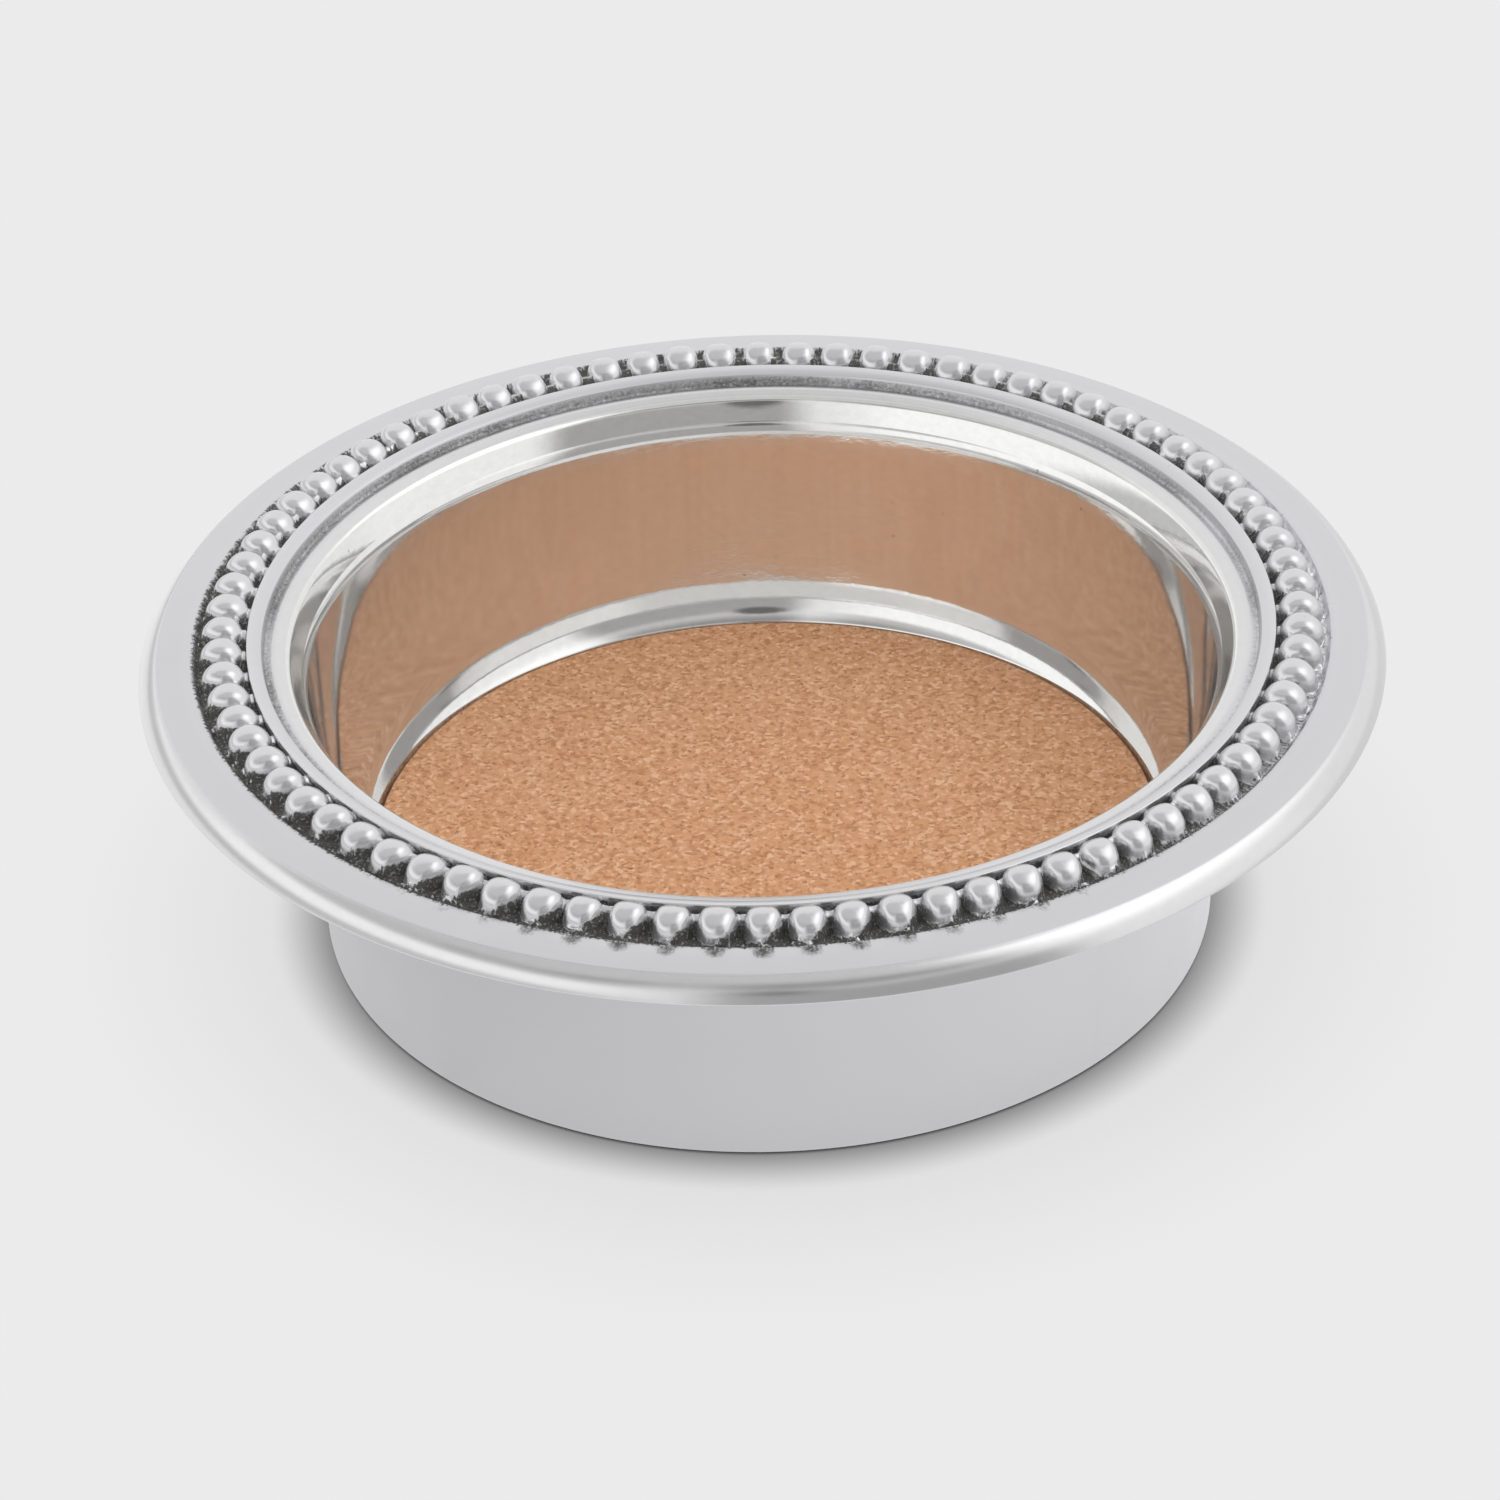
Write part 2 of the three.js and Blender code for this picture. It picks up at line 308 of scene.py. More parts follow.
def painted_bead_shade_and_trace(angle):
    """Share of grey on the flange: painted shade of the beads under each bead at the front, an even trace at
    the left.
    """
    front, left = max(0.0, -math.sin(angle)) ** 2.5, max(0.0, -math.cos(angle)) ** 2
    return front * (0.5 + 0.5 * math.cos(BEADS * angle)) + left * LEFT_TRACE * (1 - front)


# Skin in the channel, thinner where the metal is bare or high, and painted lighter at the right where the
# light falls.
def channel_skin_and_side_shade(angle, radius, height, bare):
    covered = 1 - between(bare, BARE_FROM, BARE_TO)
    return skin_less_on_lit_side(angle, radius) * covered * between(SKIN_TOP - height, 0.0, SKIN_FADE)


def bead_skin_and_side_shade(angle, along, across, height):
    """The skin climbs higher on the flank of each bead that lies ahead going round, and is painted lighter
    at the right where the light falls.
    """
    reach = BEAD_SKIN_TOP + BEAD_SKIN_CLIMB * between(along, -0.3, 0.9) * between(across, -1.0, 0.2)
    return BEAD_SKIN_SHARE * skin_less_on_lit_side(angle, BEAD_CIRCLE + across) * between(reach - height, -0.1, 0.25)


def squared(along, across):
    """Length of a step from the middle of a bead, shorter on the diagonals of its squarish plan."""
    return (abs(along) ** BEAD_SQUARENESS + abs(across) ** BEAD_SQUARENESS) ** (1 / BEAD_SQUARENESS)


def bead_foot(along, across, half_along, half_across):
    """Outline of a bead on a line from its middle, cut back outside, most on the flank that keeps skin."""
    length = squared(along, across)
    a, b = along / length * half_along, across / length * half_across
    cut = between(b / half_across, -0.1, 1.0)
    return a * (1 - (FAR_FLANK_CUT if a > 0 else NEAR_FLANK_CUT) * cut), b


def casting_mesh():
    points, polish, oxide, faces = [], [], [], []

    def put(radius, angle, height, bright, dark):
        points.append((radius * math.cos(angle) * MM, radius * math.sin(angle) * MM, height * MM))
        polish.append(bright)
        oxide.append(dark)
        return len(points) - 1

    def ring(radius, height, bright, dark, count):
        turn = 2 * math.pi / count
        angles = [k * turn - PITCH / 2 for k in range(count)]
        # On the flange the dark share is painted bead shade at the front and a trace at the left; elsewhere
        # it is the skin, painted lighter at the right.
        share = painted_bead_shade_and_trace if radius > BEAD_SHADE_INNER else lambda a: skin_less_on_lit_side(a, radius)
        return [put(radius, a, height, bright, dark * share(a) if dark else 0.0) for a in angles]

    def band(low, high):
        count = len(low)
        for k in range(count):
            faces.append((low[k], high[k], high[(k + 1) % count], low[(k + 1) % count]))

    columns = BEADS * COLUMNS_PER_BEAD
    middle = put(0, 0, *bowl_section[0][1:])
    last = None
    for radius, height, bright, dark in bowl_section[1:]:
        row = ring(radius, height, bright, dark, columns)
        if last is None:
            faces.extend((middle, row[k], row[(k + 1) % columns]) for k in range(columns))
        else:
            band(last, row)
        last = row
    collar_foot = last

    def skin(radius, angle):
        height, bare = channel_relief(angle, radius)
        dark = channel_skin_and_side_shade(angle, radius, height, bare)
        return put(radius, angle, height, BEAD_POLISH * (1 - dark), dark)

    rim_columns = BEADS * RIM_COLUMNS_PER_BEAD
    rim_turn = 2 * math.pi / rim_columns
    channel_edge = [skin(CHANNEL_FOOT, k * rim_turn - PITCH / 2) for k in range(rim_columns)]
    spans = [
        [
            skin(COLLAR_OUTER + (CHANNEL_FOOT - COLLAR_OUTER) * s / SIDE_STEPS, (i - 0.5) * PITCH)
            for s in range(1, SIDE_STEPS)
        ]
        for i in range(BEADS)
    ]

    for i in range(BEADS):
        mark = bead_marks[i]
        after = (i + 1) % BEADS
        inner = [collar_foot[(i * COLUMNS_PER_BEAD + k) % columns] for k in range(COLUMNS_PER_BEAD + 1)]
        outer = [
            channel_edge[(i * RIM_COLUMNS_PER_BEAD + k) % rim_columns]
            for k in range(RIM_COLUMNS_PER_BEAD + 1)
        ]
        border = inner[::-1] + spans[i] + outer + spans[after][::-1]
        start = i * PITCH
        rays = []
        for corner in border:
            x, y, _ = points[corner]
            angle = math.atan2(y, x) - start
            angle = (angle + math.pi) % (2 * math.pi) - math.pi
            rays.append((angle * BEAD_CIRCLE, math.hypot(x, y) / MM - BEAD_CIRCLE))
        slip_along, slip_across = mark["slip"]
        half_along, half_across = BEAD_HALF_ALONG * mark["size"], BEAD_HALF_ACROSS * mark["size"]
        middle_height = BEAD_CENTRE + mark["rise"]
        crown = middle_height + BEAD_HALF_HEIGHT
        top = put(BEAD_CIRCLE + slip_across, start + slip_along / BEAD_CIRCLE, crown, BEAD_POLISH, 0.0)
        feet = [bead_foot(along, across, half_along, half_across) for along, across in rays]
        last = None
        for j in range(1, DOME_RINGS + 1):
            out = math.sin(math.pi / 2 * j / DOME_RINGS)
            row = []
            for (along, across), (foot_a, foot_b) in zip(rays, feet):
                length = squared(along, across)
                square = abs(along / length) ** SHOULDER_ALONG
                ball = abs(across / length) ** SHOULDER_ACROSS
                fall = (square * out**SHOULDER_ALONG + ball * out**SHOULDER_ACROSS) / (square + ball)
                a, b = slip_along + foot_a * out, slip_across + foot_b * out
                angle, radius = start + a / BEAD_CIRCLE, BEAD_CIRCLE + b
                height = middle_height + BEAD_HALF_HEIGHT * math.sqrt(max(0.0, 1 - fall))
                dark = bead_skin_and_side_shade(angle, a, b, height)
                floor, bare = channel_relief(angle, radius)
                if floor > height:
                    height, dark = floor, channel_skin_and_side_shade(angle, radius, floor, bare)
                row.append(put(radius, angle, height, BEAD_POLISH * (1 - dark), dark))
            if last is None:
                faces.extend((top, row[k], row[(k + 1) % len(row)]) for k in range(len(row)))
            else:
                band(last, row)
            last = row
        for share in SKIRT_RINGS:
            if share == 1.0:
                row = border
            else:
                row = []
                for (along, across), (foot_a, foot_b) in zip(rays, feet):
                    first_a, first_b = slip_along + foot_a, slip_across + foot_b
                    a = first_a + (along - first_a) * share
                    b = first_b + (across - first_b) * share
                    beyond = math.hypot(a - first_a, b - first_b)
                    flank = BEAD_CENTRE - (BEAD_CENTRE - CHANNEL_FLOOR) * min(1.0, beyond / FLANK_WIDTH)
                    angle, radius = start + a / BEAD_CIRCLE, BEAD_CIRCLE + b
                    height, bare = channel_relief(angle, radius)
                    dark = channel_skin_and_side_shade(angle, radius, height, bare)
                    if flank > height:
                        height, dark = flank, bead_skin_and_side_shade(angle, a, b, flank)
                    row.append(put(radius, angle, height, BEAD_POLISH * (1 - dark), dark))
            band(last, row)
            last = row

    row = ring(*rim_section[0], columns)
    for k in range(columns):
        a, b, c = (channel_edge[(2 * k + n) % rim_columns] for n in range(3))
        here, beside = row[k], row[(k + 1) % columns]
        faces.extend([(a, here, b), (b, here, beside), (b, beside, c)])
    last = row
    for radius, height, bright, dark in rim_section[1:-1]:
        row = ring(radius, height, bright, dark, columns)
        band(last, row)
        last = row
    middle = put(0, 0, *rim_section[-1][1:])
    faces.extend((last[k], middle, last[(k + 1) % columns]) for k in range(columns))

    mesh = bpy.data.meshes.new("casting")
    mesh.from_pydata(points, [], faces)
    mesh.attributes.new("polish", "FLOAT", "POINT").data.foreach_set("value", polish)
    mesh.attributes.new("oxide", "FLOAT", "POINT").data.foreach_set("value", oxide)
    mesh.shade_smooth()
    return mesh


class Flow:
    """A socket of a node tree, so that shader maths reads as plain arithmetic."""

    def __init__(self, tree, socket=None):
        self.tree, self.socket = tree, socket

    def node(self, kind, settings=None, inputs=None, out=0):
        made = self.tree.nodes.new(kind)
        for name, value in (settings or {}).items():
            if name == "stops":
                while len(made.color_ramp.elements) < len(value):
                    made.color_ramp.elements.new(1.0)
                for element, (place, colour) in zip(made.color_ramp.elements, value):
                    element.position, element.color = place, (*colour, 1.0)
            else:
                setattr(made, name, value)
        for name, value in (inputs or {}).items():
            if isinstance(value, Flow):
                self.tree.links.new(value.socket, made.inputs[name])
            else:
                made.inputs[name].default_value = value
        return Flow(self.tree, made.outputs[out] if len(made.outputs) else None)

    def maths(self, operation, *values):
        return self.node("ShaderNodeMath", {"operation": operation}, dict(enumerate(values)))

    def __add__(self, other):
        return self.maths("ADD", self, other)

    def __radd__(self, other):
        return self.maths("ADD", other, self)

    def __sub__(self, other):
        return self.maths("SUBTRACT", self, other)

    def __rsub__(self, other):
        return self.maths("SUBTRACT", other, self)

    def __mul__(self, other):
        return self.maths("MULTIPLY", self, other)

    def __rmul__(self, other):
        return self.maths("MULTIPLY", other, self)

    def __truediv__(self, other):
        return self.maths("DIVIDE", self, other)

    def __rtruediv__(self, other):
        return self.maths("DIVIDE", other, self)

    def rise(self, low, high):
        """0 below low, 1 above high and smooth between."""
        limits = {"Value": self, "From Min": low, "From Max": high}
        return self.node("ShaderNodeMapRange", {"interpolation_type": "SMOOTHSTEP"}, limits)

    def mix(self, low, high):
        """The colour low where this is 0 and high where it is 1."""
        colours = {0: self, 6: low, 7: high}
        return self.node("ShaderNodeMix", {"data_type": "RGBA"}, colours, 2)

    def cloud(self, place, per_metre, detail=2.0, roughness=0.5, distortion=0.0):
        """Noise from 0 to 1."""
        return self.node("ShaderNodeTexNoise", {}, {
            "Vector": place, "Scale": per_metre, "Detail": detail, "Roughness": roughness,
            "Distortion": distortion,
        })


def new_material(name):
    material = bpy.data.materials.new(name)
    material.use_nodes = True
    material.node_tree.nodes.clear()
    return material, Flow(material.node_tree)


def finish_material(flow, shader):
    flow.node("ShaderNodeOutputMaterial", {}, {"Surface": shader})


SATIN_METAL = (0.645, 0.643, 0.665, 1)
BUFFED_DULL = (0.71, 0.71, 0.7, 1)
BUFFED_BRIGHT = (0.83, 0.83, 0.82, 1)
PIT_TONE = (0.25, 0.24, 0.23, 1)
SKIN_DARK = (0.03, 0.03, 0.03, 1)
SKIN_PALE = (0.28, 0.275, 0.26, 1)
GRIT_TONE = (0.5, 0.5, 0.49, 1)
SATIN_ROUGHNESS, SATIN_UNEVEN = 0.31, 0.12
BUFFED_ROUGHNESS = 0.06
SKIN_ROUGHENING = 0.35
METAL_SHARE = 0.88
RIPPLE_RELIEF = 0.00003
LATHE_RELIEF = 0.0000018
HAZE_RELIEF = 0.000004
SKIN_RELIEF = 0.00006
SATIN_RELIEF = 0.0000016
CHANNEL_ZONE = (0.0512, 0.0525)
BANK_ZONE = (0.0555, 0.057)
BANK_END = (0.0579, 0.0583)
FLANGE_ZONE = (0.0581, 0.0587)


def cast_aluminium():
    material, flow = new_material("cast_aluminium")
    place = flow.node("ShaderNodeTexCoord", {}, {}, "Object")
    buffed = flow.node("ShaderNodeAttribute", {"attribute_name": "polish"}, {}, "Fac")
    # This attribute holds the cast skin together with painted shade: skin painted lighter at the right, and
    # grey bead shade on the front of the flange.
    skin = flow.node("ShaderNodeAttribute", {"attribute_name": "oxide"}, {}, "Fac")
    x, y, z = (flow.node("ShaderNodeSeparateXYZ", {}, {"Vector": place}, axis) for axis in range(3))
    round_way = flow.maths("ARCTAN2", y, x)
    out_way = flow.maths("SQRT", x * x + y * y)
    speckle = flow.cloud(place, 2600, 3.0, 0.65)
    fine = flow.cloud(place, 6000, 2.0, 0.6)
    spread = flow.cloud(place, 90, 2.0)
    polar = flow.node("ShaderNodeCombineXYZ", {}, {0: round_way * 230.0, 1: out_way * 700.0, 2: 0.0})
    stroke = flow.cloud(polar, 1.0, 1.0)
    ragged = (speckle - 0.5) * (0.4 + out_way.rise(*CHANNEL_ZONE) * 0.5 - out_way.rise(*FLANGE_ZONE) * 0.6)
    ragged = ragged + (stroke - 0.5) * out_way.rise(*BANK_ZONE) * (1.2 - out_way.rise(*BANK_END))
    dark = (skin * (0.65 + spread * 0.7) + ragged).rise(0.3, 0.7)
    grit = flow.cloud(place, 3300, 1.0).rise(0.57, 0.68)
    turned = flow.node("ShaderNodeCombineXYZ", {}, {0: x * 70.0, 1: y * 70.0, 2: z * 900.0})
    lathe_marks = flow.cloud(turned, 1.0, 2.0)
    mottle = flow.node("ShaderNodeCombineXYZ", {}, {0: x * 900.0, 1: y * 900.0, 2: z * 1700.0})
    haze = flow.cloud(mottle, 1.0, 3.0, 0.6)
    pits = flow.cloud(place, 1100, 1.0).rise(0.79, 0.82)
    buffed_tone = haze.mix(BUFFED_DULL, BUFFED_BRIGHT)
    buffed_tone = (pits * 0.5).mix(buffed_tone, PIT_TONE)
    bright_metal = buffed.mix(SATIN_METAL, buffed_tone)
    skin_tone = fine.mix(SKIN_DARK, SKIN_PALE)
    skin_tone = (grit * 0.8).mix(skin_tone, GRIT_TONE)
    colour = dark.mix(bright_metal, skin_tone)
    patches = flow.cloud(place, 130, 2.0)
    satin_rough = SATIN_ROUGHNESS + (patches - 0.5) * SATIN_UNEVEN
    shine = buffed.rise(0.0, 1.0)
    roughness = satin_rough + shine * (BUFFED_ROUGHNESS - satin_rough) + dark * SKIN_ROUGHENING
    ripple = flow.cloud(place, 110, 1.0)
    waves = shine * (ripple * RIPPLE_RELIEF + lathe_marks * LATHE_RELIEF + haze * HAZE_RELIEF)
    height = (speckle + grit * 0.6) * dark * SKIN_RELIEF + fine * (1 - shine) * SATIN_RELIEF + waves
    normal = flow.node("ShaderNodeBump", {}, {"Height": height, "Strength": 1.0, "Distance": 1.0})
    shader = flow.node("ShaderNodeBsdfPrincipled", {}, {
        "Base Color": colour, "Roughness": roughness, "Normal": normal, "Metallic": METAL_SHARE,
    })
    finish_material(flow, shader)
    return material


def add_piece(name, mesh, material, node):
    piece = bpy.data.objects.new(name, mesh)
    bpy.context.scene.collection.objects.link(piece)
    mesh.materials.append(material)
    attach(piece, "root")
    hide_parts(node)


add_piece("casting", casting_mesh(), cast_aluminium(), "cast_body")


# The glue: a thin film of contact cement, brushed on the floor of the bowl and dried under the cork.
# It stops short of the edge of the cork, with a wavy outline where the brush turned.
GLUE_RADIUS = POCKET_RADIUS - 1.2
GLUE_TOP = 5.8
GLUE_COLUMNS = 180
BRUSH_WAVE = 0.3
INNER_RING = 20
GLUE_DARK = (0.5, 0.4, 0.24, 1)
GLUE_PALE = (0.72, 0.64, 0.45, 1)
GLUE_RELIEF = 0.00004


def turned_mesh(name, rows, columns, jitter):
    """A closed disc of (radius, height) rows from the middle of its underside to the middle of its top."""
    points = [(0.0, 0.0, rows[0][1] * MM)]
    faces = []
    for radius, height in rows[1:-1]:
        for k in range(columns):
            angle = 2 * math.pi * k / columns
            points.append(jitter(radius, angle, height))
    points.append((0.0, 0.0, rows[-1][1] * MM))
    loops = len(rows) - 2
    for k in range(columns):
        beside = (k + 1) % columns
        faces.append((0, 1 + beside, 1 + k))
        for j in range(loops - 1):
            low, high = 1 + j * columns, 1 + (j + 1) * columns
            faces.append((low + k, low + beside, high + beside, high + k))
        low = 1 + (loops - 1) * columns
        faces.append((low + k, low + beside, len(points) - 1))
    mesh = bpy.data.meshes.new(name)
    mesh.from_pydata(points, [], faces)
    mesh.shade_smooth()
    return mesh


def brushed_edge(radius, angle, height):
    wave = BRUSH_WAVE * grain(3 * math.cos(angle), 3 * math.sin(angle), 0.0, 1.7) * radius / GLUE_RADIUS
    r = radius + (min(0.0, wave) if radius > INNER_RING else 0)
    return (r * math.cos(angle) * MM, r * math.sin(angle) * MM, height * MM)


def dried_glue():
    material, flow = new_material("dried_glue")
    place = flow.node("ShaderNodeTexCoord", {}, {}, "Object")
    streak = flow.cloud(place, 160, 3.0)
    colour = streak.mix(GLUE_DARK, GLUE_PALE)
    roughness = 0.35 + streak * 0.25
    relief = {"Height": streak * GLUE_RELIEF, "Strength": 1.0, "Distance": 1.0}
    normal = flow.node("ShaderNodeBump", {}, relief)
    shader = flow.node("ShaderNodeBsdfPrincipled", {}, {
        "Base Color": colour, "Roughness": roughness, "Normal": normal,
    })
    finish_material(flow, shader)
    return material


glue_rows = [(0, FLOOR_HEIGHT), (INNER_RING, FLOOR_HEIGHT), (GLUE_RADIUS, FLOOR_HEIGHT)]
glue_rows += [(GLUE_RADIUS, GLUE_TOP), (INNER_RING, GLUE_TOP), (0, GLUE_TOP)]
add_piece(
    "glue_film", turned_mesh("glue_film", glue_rows, GLUE_COLUMNS, brushed_edge), dried_glue(),
    "adhesive_disc",
)


# The liner: a disc punched from a sheet of fine agglomerate cork, glued to the floor of the bowl.
# Its granules show as tan, pale and brown flecks, and the punch leaves a slightly crumbly edge.
CORK_RADIUS = 40.7
CORK_TOP = 8.3
CORK_EDGE_BREAK = 0.25
CORK_COLUMNS = 220
CORK_EDGE_BAND = 0.3
EDGE_CRUMBLE = 0.09
TOP_DIMPLES = 0.035
CORK_TONES = [
    (0.0, (0.58, 0.268, 0.128)),
    (0.25, (0.712, 0.362, 0.187)),
    (0.75, (0.81, 0.438, 0.243)),
    (1.0, (0.925, 0.575, 0.365)),
]
BARK_FLECK = (0.30, 0.13, 0.06, 1)
PALE_GRANULE = (0.90, 0.60, 0.40, 1)
GRANULES_PER_METRE = 2300.0
CORK_RELIEF = 0.00009


def crumbly(radius, angle, height):
    x, y = radius * math.cos(angle), radius * math.sin(angle)
    at_edge = radius > CORK_RADIUS - CORK_EDGE_BAND
    on_top = height > CORK_TOP - CORK_EDGE_BAND and radius < CORK_RADIUS
    r = radius - (EDGE_CRUMBLE * abs(grain(x, y, height, 1.1)) if at_edge else 0)
    z = height - (TOP_DIMPLES * abs(grain(x, y, 3.0, 0.9)) if on_top else 0)
    return (r * math.cos(angle) * MM, r * math.sin(angle) * MM, z * MM)


def cork():
    material, flow = new_material("fine_cork")
    place = flow.node("ShaderNodeTexCoord", {}, {}, "Object")
    bend = flow.node("ShaderNodeTexNoise", {}, {"Vector": place, "Scale": 900.0, "Detail": 1.0}, "Color")
    shifted = flow.node("ShaderNodeVectorMath", {"operation": "MULTIPLY_ADD"}, {
        0: bend, 1: (0.0004, 0.0004, 0.0004), 2: place,
    })
    granules = {"Vector": shifted, "Scale": GRANULES_PER_METRE}
    granule = flow.node("ShaderNodeTexVoronoi", {}, granules, "Color")
    tint = flow.node("ShaderNodeSeparateColor", {}, {"Color": granule}, 0)
    tone = flow.node("ShaderNodeValToRGB", {"stops": CORK_TONES}, {"Fac": tint})
    fleck = flow.cloud(place, 2000, 2.0, 0.6).rise(0.62, 0.71)
    colour = (fleck * 0.7).mix(tone, BARK_FLECK)
    pale = flow.cloud(place, 1700, 2.0, 0.5, 0.6).rise(0.62, 0.73)
    colour = (pale * 0.5).mix(colour, PALE_GRANULE)
    pores = flow.cloud(place, 2200, 3.0, 0.6)
    relief = {"Height": pores * CORK_RELIEF, "Strength": 1.0, "Distance": 1.0}
    normal = flow.node("ShaderNodeBump", {}, relief)
    shader = flow.node("ShaderNodeBsdfPrincipled", {}, {
        "Base Color": colour, "Roughness": 0.9, "Normal": normal, "Specular IOR Level": 0.2,
    })
    finish_material(flow, shader)
    return material


cork_rows = [(0, GLUE_TOP), (INNER_RING, GLUE_TOP), (CORK_RADIUS - 0.1, GLUE_TOP)]
cork_rows += [(CORK_RADIUS, h) for h in np.linspace(GLUE_TOP + 0.1, CORK_TOP - CORK_EDGE_BREAK, 5)]
cork_rows += [(CORK_RADIUS - CORK_EDGE_BREAK * 0.4, CORK_TOP - CORK_EDGE_BREAK * 0.3)]
cork_rows += [(r, CORK_TOP) for r in np.linspace(CORK_RADIUS - CORK_EDGE_BREAK, 1.5, 32)]
cork_rows += [(0, CORK_TOP)]
add_piece(
    "cork_liner_disc", turned_mesh("cork_liner_disc", cork_rows, CORK_COLUMNS, crumbly), cork(),
    "cork_liner",
)


# The table: a wide sheet of plain pale paper that keeps the soft shadow of the dish.
# From below it lets the view through, so that the foot of the dish can be seen.
FLOOR_TONE = 0.831
FLOOR_HALF = 3.0
CONTACT_REACH = 0.006
SHADOW_REACH = 0.03
PAPER_TOOTH = 0.004
MIRRORED_LEFT, MIRRORED_RIGHT_GAIN = 0.775, 0.25
MIRRORED_FAR, MIRRORED_FAR_RIGHT_DROP = 1.04, 0.2


def pale_paper():
    material, flow = new_material("pale_paper")
    place = flow.node("ShaderNodeTexCoord", {}, {}, "Object")
    tooth = flow.cloud(place, 900, 2.0)
    grey = FLOOR_TONE + (tooth - 0.5) * PAPER_TOOTH
    tone = flow.node("ShaderNodeCombineColor", {}, {0: grey, 1: grey, 2: grey})
    paper = flow.node("ShaderNodeBsdfDiffuse", {}, {"Color": tone})
    contact = flow.node("ShaderNodeAmbientOcclusion", {"samples": 16}, {"Distance": CONTACT_REACH}, "AO")
    open_sky = flow.node("ShaderNodeAmbientOcclusion", {"samples": 16}, {"Distance": SHADOW_REACH}, "AO")
    # For the camera the paper's tone is emission with a painted shadow of the dish, drawn from ambient
    # occlusion.
    shadow = flow.maths("POWER", contact, 1.3) * (0.72 + open_sky * 0.28)
    sideways = flow.node("ShaderNodeSeparateXYZ", {}, {"Vector": place}, 0)
    away = flow.node("ShaderNodeVectorMath", {"operation": "LENGTH"}, {0: place}, "Value").rise(0.085, 0.12)
    # Seen in the metal the paper carries painted shade: near the dish darker at the left and lighter at the
    # right, darker at the contact, and far out lighter at the left and darker at the right.
    near_shade = MIRRORED_LEFT + sideways.rise(-0.08, 0.09) * MIRRORED_RIGHT_GAIN
    far_shade = MIRRORED_FAR - sideways.rise(0.0, 0.1) * MIRRORED_FAR_RIGHT_DROP
    mirror_shade = near_shade * (0.9 + contact * 0.1) + away * (far_shade - near_shade)
    direct = flow.node("ShaderNodeLightPath", {}, {}, "Is Camera Ray")
    shade = mirror_shade + direct * (shadow * FLOOR_TONE - mirror_shade)
    seen_tone = flow.node("ShaderNodeCombineColor", {}, {0: shade, 1: shade, 2: shade})
    lit = flow.node("ShaderNodeEmission", {}, {"Color": seen_tone})
    mirrored = flow.node("ShaderNodeLightPath", {}, {}, "Is Glossy Ray")
    through = flow.node("ShaderNodeLightPath", {}, {}, "Is Transmission Ray")
    seen = flow.maths("MINIMUM", direct + mirrored + through, 1.0)
    top = flow.node("ShaderNodeMixShader", {}, {0: seen, 1: paper, 2: lit})
    below = flow.node("ShaderNodeNewGeometry", {}, {}, "Backfacing")
    clear = flow.node("ShaderNodeBsdfTransparent")
    finish_material(flow, flow.node("ShaderNodeMixShader", {}, {0: below, 1: top, 2: clear}))
    return material


paper_mesh = bpy.data.meshes.new("table_paper")
paper_corners = [(x * FLOOR_HALF, y * FLOOR_HALF, 0.0) for x, y in ((-1, -1), (1, -1), (1, 1), (-1, 1))]
paper_mesh.from_pydata(paper_corners, [], [(0, 1, 2, 3)])
paper_mesh.materials.append(pale_paper())
paper = bpy.data.objects.new("table_paper", paper_mesh)
bpy.context.scene.collection.objects.link(paper)


# The light: a soft white studio with a strip light at the left, a softbox high at the right, a grey
# ceiling that comes down in front, and a small dark opening where the camera looks in.
BACKDROP = 0.831
FRONT_DROP, FRONT_GAIN_ABOVE = 0.58, 0.22
RIGHT_PANEL_GAIN = 0.1
WIDE_FRONT_DROP = 0.32
LEFT_STRIP_GAIN, LEFT_PANEL_DROP = 0.62, 0.36
CEILING_LEVEL = 0.7
SOFTBOX_LEVEL = 1.65
OPENING_LEVEL = 0.12
OPENING_EDGE = math.radians(8)
OPENING_CORE = math.radians(3.5)
CAMERA_ELEVATION = math.radians(34.1)
CAMERA_TURN = math.radians(0.7)


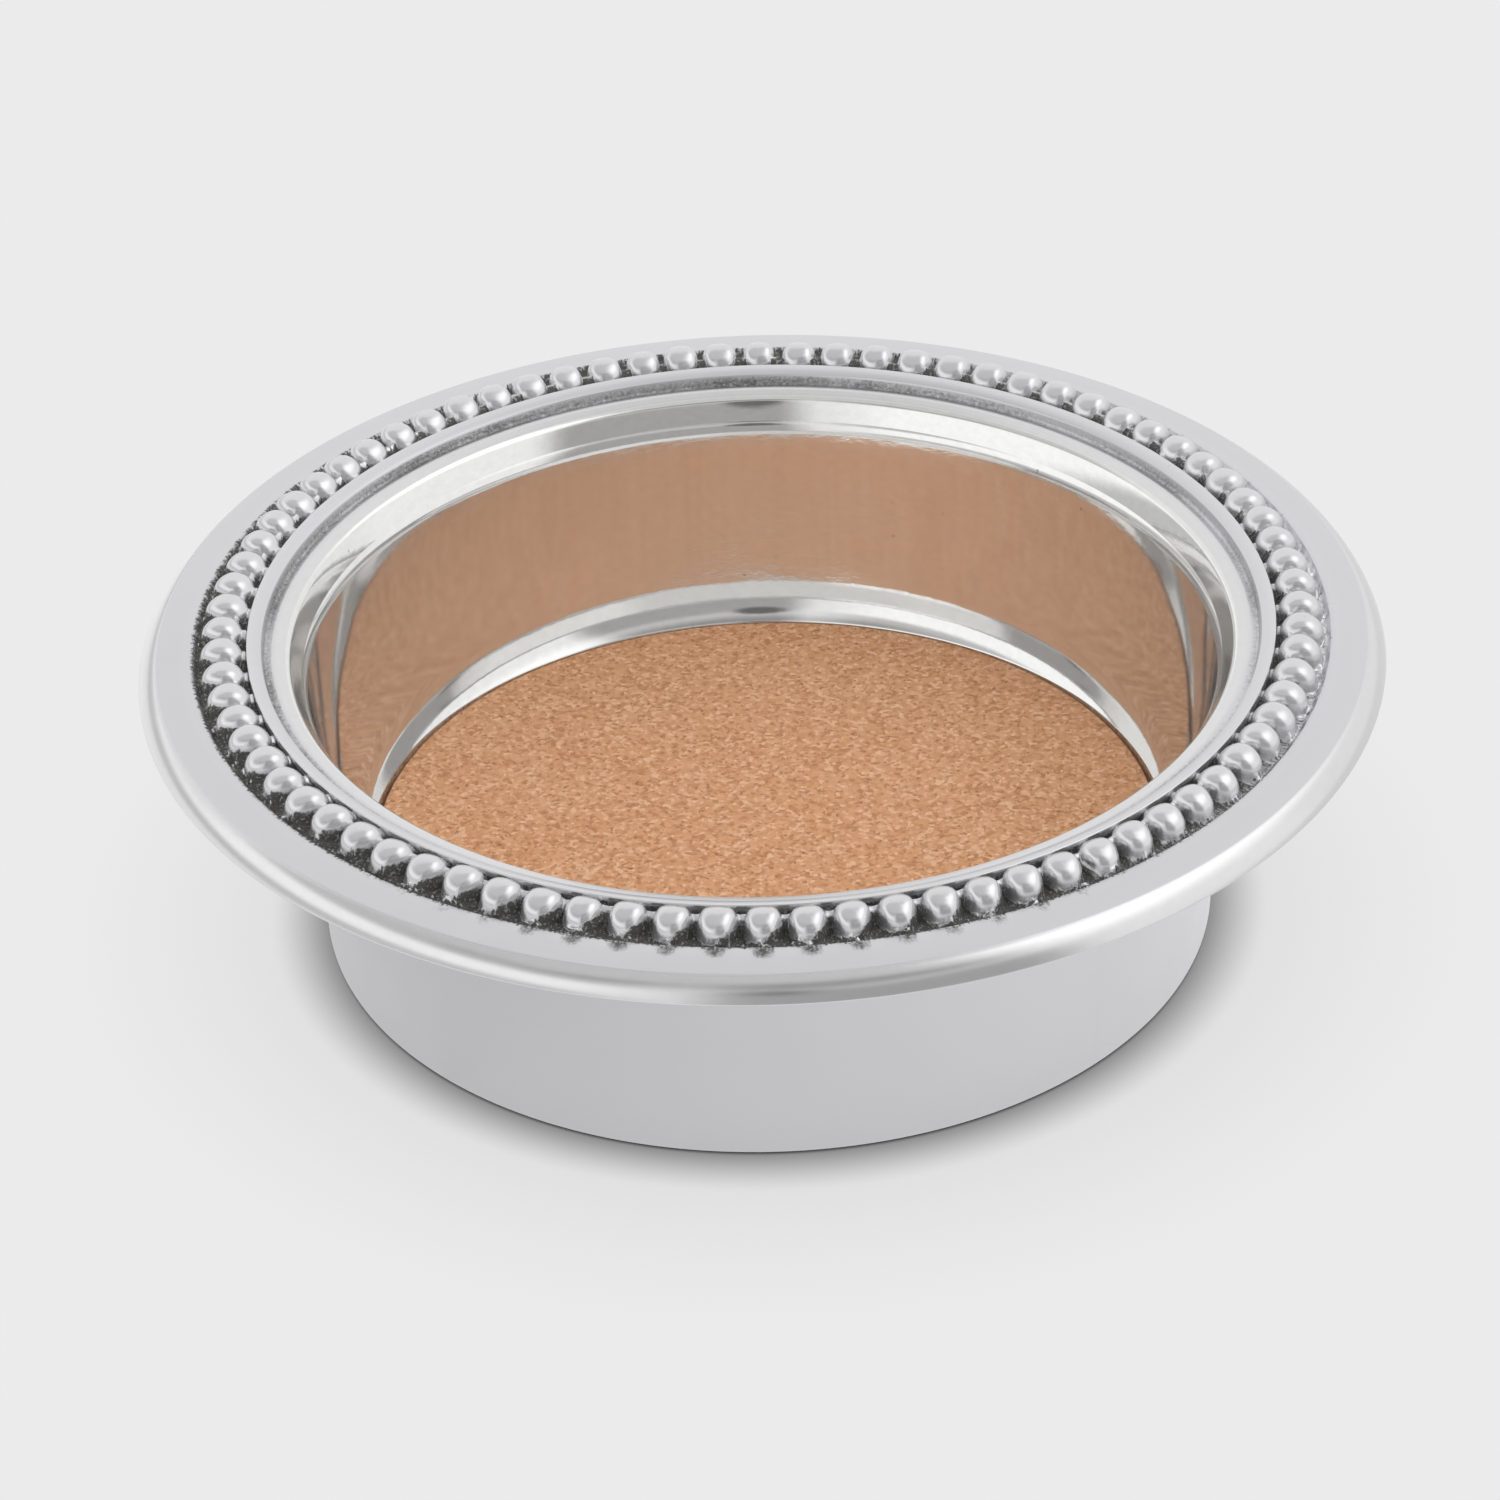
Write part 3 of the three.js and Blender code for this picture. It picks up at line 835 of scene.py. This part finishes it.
def studio():
    """The world's light by direction, in degrees: across from the front to the right, and up."""
    world = bpy.data.worlds.new("studio")
    bpy.context.scene.world = world
    world.use_nodes = True
    world.node_tree.nodes.clear()
    flow = Flow(world.node_tree)
    way = flow.node("ShaderNodeTexCoord", {}, {}, "Generated")
    x, y, z = (flow.node("ShaderNodeSeparateXYZ", {}, {"Vector": way}, axis) for axis in range(3))
    across = flow.maths("ARCTAN2", x, y * -1.0) * (180 / math.pi)
    up = flow.maths("ARCSINE", z) * (180 / math.pi)
    sideways = flow.maths("ABSOLUTE", x / flow.maths("MAXIMUM", z, 0.05))
    lengthways = flow.maths("ABSOLUTE", y / flow.maths("MAXIMUM", z, 0.05))
    ceiling = (1 - sideways.rise(0.55, 0.95)) * (1 - lengthways.rise(0.45, 0.75))
    front = across.rise(-16, -5) * (1 - across.rise(46, 58))
    strip = up.rise(8, 15) * (1 - up.rise(31, 38))
    left_side = (1 - across.rise(-38, -12)) * across.rise(-178, -150)
    left_panel = left_side * (1 - (1 - across.rise(-125, -105)) * up.rise(12, 24))
    right_panel = across.rise(48, 60) * (1 - across.rise(100, 115))
    softbox = across.rise(40, 72) * (1 - across.rise(125, 155)) * up.rise(24, 48) * (1 - up.rise(60, 78))
    wide_front = across.rise(-85, -55) * (1 - across.rise(60, 85)) * up.rise(38, 50)
    level = 1.0 - front * (FRONT_DROP - up.rise(30, 38) * FRONT_GAIN_ABOVE)
    level = level + right_panel * RIGHT_PANEL_GAIN - wide_front * WIDE_FRONT_DROP
    level = level + left_panel * (strip * LEFT_STRIP_GAIN - LEFT_PANEL_DROP)
    level = level + ceiling * (CEILING_LEVEL - level)
    level = level + softbox * (SOFTBOX_LEVEL - level)
    camera_way = (
        math.sin(CAMERA_TURN) * math.cos(CAMERA_ELEVATION),
        -math.cos(CAMERA_TURN) * math.cos(CAMERA_ELEVATION),
        math.sin(CAMERA_ELEVATION),
    )
    both_ways = {0: way, 1: camera_way}
    facing = flow.node("ShaderNodeVectorMath", {"operation": "DOT_PRODUCT"}, both_ways, "Value")
    opening = facing.rise(math.cos(OPENING_EDGE), math.cos(OPENING_CORE))
    level = level + opening * (OPENING_LEVEL - level)
    seen = flow.node("ShaderNodeLightPath", {}, {}, "Is Camera Ray")
    level = level + seen * (BACKDROP - level)
    tone = flow.node("ShaderNodeCombineColor", {}, {0: level, 1: level, 2: level})
    light = flow.node("ShaderNodeBackground", {}, {"Color": tone, "Strength": 1.0})
    flow.node("ShaderNodeOutputWorld", {}, {"Surface": light})


studio()
bpy.context.scene.view_settings.view_transform = "Standard"


# The camera: a long lens from the front, looking down at the dish, turned slightly on its own axis.
CAMERA_DISTANCE = 650.0
AIM = Vector((-1.51, 0.0, 17.89))
LENS_PIXELS = 6202.0
PHOTO_PIXELS = 1500.0
ROLL = math.radians(-1.84)
SENSOR_WIDTH = 36.0

stand = Vector((
    0, -CAMERA_DISTANCE * math.cos(CAMERA_ELEVATION), CAMERA_DISTANCE * math.sin(CAMERA_ELEVATION),
))
backward = (stand - AIM).normalized()
level_right = Vector((0, 0, 1)).cross(backward).normalized()
level_up = backward.cross(level_right)
right = math.cos(ROLL) * level_right + math.sin(ROLL) * level_up
upward = math.cos(ROLL) * level_up - math.sin(ROLL) * level_right
pose = Matrix((right, upward, backward)).transposed().to_4x4()
pose.translation = stand * MM

camera_data = bpy.data.cameras.new("camera")
camera_data.sensor_width = SENSOR_WIDTH
camera_data.lens = LENS_PIXELS / PHOTO_PIXELS * SENSOR_WIDTH
camera = bpy.data.objects.new("camera", camera_data)
camera.matrix_world = Matrix.Rotation(CAMERA_TURN, 4, "Z") @ pose
bpy.context.scene.collection.objects.link(camera)
bpy.context.scene.camera = camera
